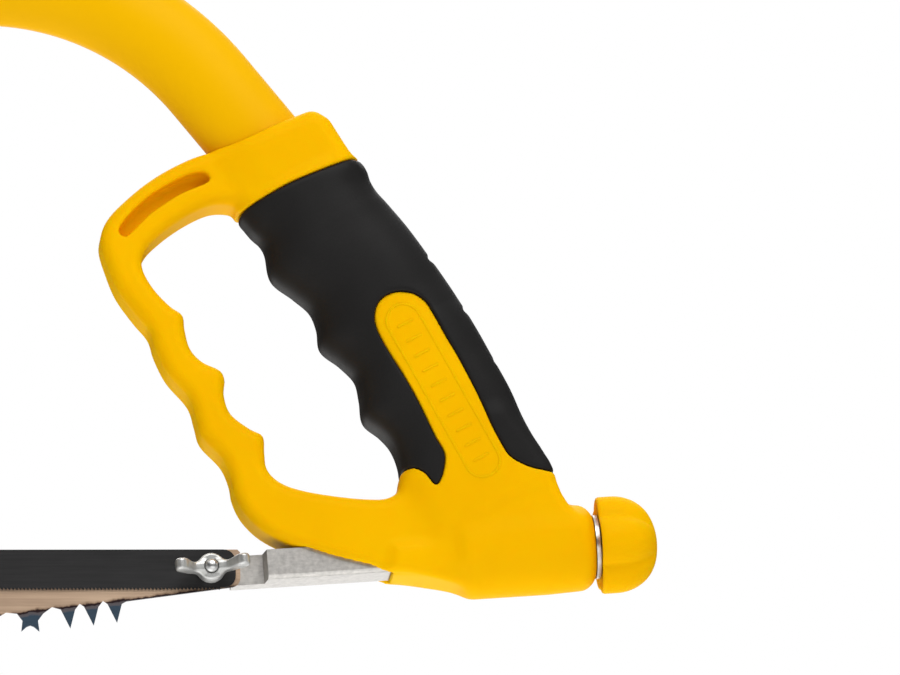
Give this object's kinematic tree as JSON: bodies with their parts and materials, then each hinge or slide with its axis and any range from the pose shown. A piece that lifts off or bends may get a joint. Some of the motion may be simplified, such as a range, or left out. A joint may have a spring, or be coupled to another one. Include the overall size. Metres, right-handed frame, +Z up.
{
  "type": "bow saw",
  "caption": "Compact bow saw: curved oval tube frame, closed pistol handle with soft grip, screw-tensioned carrier and stacked wood and metal blades held by wing nuts.",
  "frame": {"origin": "under the middle of the saw's box in its middle plane, level with the lowest tooth tips", "axes": "+X along the blades towards the handle and knob, +Y across the saw away from the wing nuts, +Z up from the teeth to the frame tube"},
  "size_m": [0.4479, 0.031, 0.2182],
  "materials": {
    "tube_paint": "satin powder coat",
    "yellow_plastic": "fine moulded satin",
    "black_rubber": "soft-touch satin",
    "zinc_steel": "bright zinc plate",
    "threaded_steel": "rolled thread, zinc plate",
    "brass_bush": "turned brass",
    "carrier_steel": "zinc-plated folded sheet",
    "cast_zinc": "die-cast, tumbled",
    "black_blade": "black oxide lacquer",
    "bronze_blade": "lacquered steel with blue hardened teeth"
  },
  "bodies": {
    "frame": {"frame_tube": "tube_paint", "handle_body": "yellow_plastic", "soft_grip": "black_rubber", "retaining_pin": "zinc_steel", "barrel_bush": "brass_bush", "thrust_washer": "zinc_steel", "front_blade_stud": "zinc_steel"},
    "knob": {"tension_knob": "yellow_plastic", "knob_insert": "brass_bush"},
    "carrier": {"blade_carrier": "carrier_steel", "rod_block": "carrier_steel", "block_rivets": "zinc_steel", "tension_rod": "threaded_steel", "rear_blade_stud": "zinc_steel", "metal_blade": "black_blade", "wood_blade": "bronze_blade"},
    "rear_seat": {"rear_washer": "zinc_steel"},
    "rear_nut": {"rear_wing_nut": "cast_zinc"},
    "front_seat": {"front_washer": "zinc_steel"},
    "front_nut": {"front_wing_nut": "cast_zinc"}
  },
  "joints": [
    {"name": "knob_turn", "type": "hinge", "parent": "frame", "child": "knob", "pos_m": [0.20886, 0, 0.02804], "axis": [0.998, 0, 0.0637], "range_deg": [0, 1800]},
    {"name": "carrier_slide", "type": "slide", "parent": "frame", "child": "carrier", "axis": [0.998, 0, 0.0637], "range_m": [-0.005, 0]},
    {"name": "rear_nut_lift", "type": "slide", "parent": "carrier", "child": "rear_seat", "axis": [0, -1, 0], "range_m": [0, 0.0021]},
    {"name": "rear_nut_turn", "type": "hinge", "parent": "rear_seat", "child": "rear_nut", "pos_m": [0.0891, 0, 0.0204], "axis": [0, -1, 0], "range_deg": [0, 1080]},
    {"name": "front_nut_lift", "type": "slide", "parent": "frame", "child": "front_seat", "axis": [0, -1, 0], "range_m": [0, 0.0021]},
    {"name": "front_nut_turn", "type": "hinge", "parent": "front_seat", "child": "front_nut", "pos_m": [-0.2109, 0, 0.0204], "axis": [0, -1, 0], "range_deg": [0, 1080]}
  ],
  "couplings": [
    {"joint": "carrier_slide", "follows": "knob_turn", "m_per_rad": -0.00015915},
    {"joint": "rear_nut_lift", "follows": "rear_nut_turn", "m_per_rad": 0.00011141},
    {"joint": "front_nut_lift", "follows": "front_nut_turn", "m_per_rad": 0.00011141}
  ]
}
